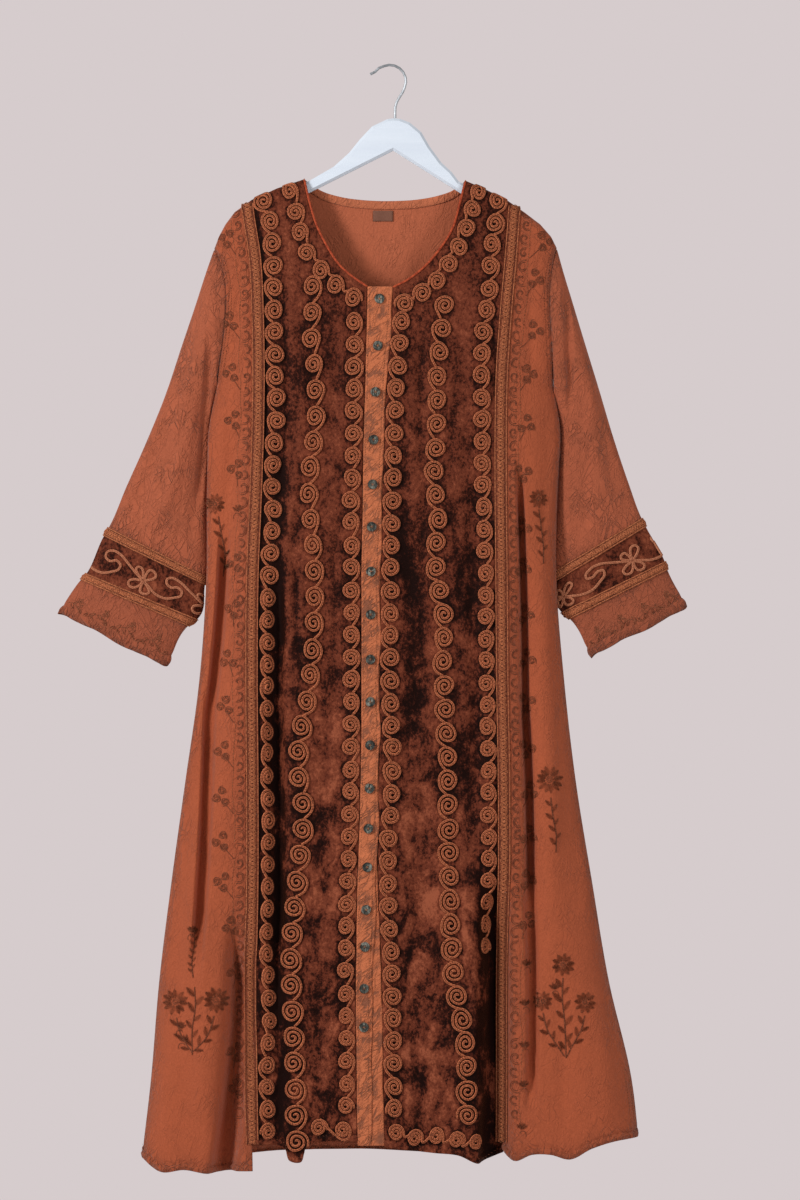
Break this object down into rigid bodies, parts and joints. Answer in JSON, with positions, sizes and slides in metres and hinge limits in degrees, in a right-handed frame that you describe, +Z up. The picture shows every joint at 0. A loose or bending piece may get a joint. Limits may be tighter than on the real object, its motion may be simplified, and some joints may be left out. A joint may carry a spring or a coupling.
{
  "type": "kaftan on hanger",
  "caption": "Long button-front kaftan with corded velvet front panels, embroidered side panels and banded sleeves, hanging on a flat white hanger.",
  "frame": {"origin": "inner side of the hook's crown, where a rod carries it", "axes": "+Z up, the garment's front faces -Y, +X to the right of a viewer who faces the front"},
  "size_m": [0.822, 0.0856, 1.4399],
  "materials": {
    "velvet": "crushed velvet, dark brown with rust highlights, with couched rust cord",
    "rayon": "washed rust rayon, matt, with tonal embroidery beside the braid",
    "placket": "crinkled bright rust cotton",
    "braid": "zigzag woven braid in rust and brown",
    "piping": "orange-red piping",
    "label": "blank woven patch",
    "cuff": "rust rayon with tonal embroidery",
    "button": "dark shell-look, four holes",
    "hanger": "white satin paint",
    "hook": "bright wire"
  },
  "bodies": {
    "root": {"velvet_front_l": "velvet", "velvet_front_r": "velvet", "side_front_l": "rayon", "side_front_r": "rayon", "back": "rayon", "placket_over": "placket", "placket_under": "placket", "braid_l": "braid", "braid_r": "braid", "neck_piping_l": "piping", "neck_piping_r": "piping", "back_neck_binding": "rayon", "neck_label": "label", "sleeve_l": "rayon", "sleeve_r": "rayon", "sleeve_velvet_l": "velvet", "sleeve_velvet_r": "velvet", "sleeve_braid_upper_l": "braid", "sleeve_braid_upper_r": "braid", "sleeve_braid_lower_l": "braid", "sleeve_braid_lower_r": "braid", "cuff_l": "cuff", "cuff_r": "cuff", "button_01": "button", "button_02": "button", "button_03": "button", "button_04": "button", "button_05": "button", "button_06": "button", "button_07": "button", "button_08": "button", "button_09": "button", "button_10": "button", "button_11": "button", "button_12": "button", "button_13": "button", "button_14": "button", "button_15": "button", "button_16": "button", "button_17": "button", "button_18": "button", "hanger": "hanger", "hook": "hook"}
  },
  "joints": []
}
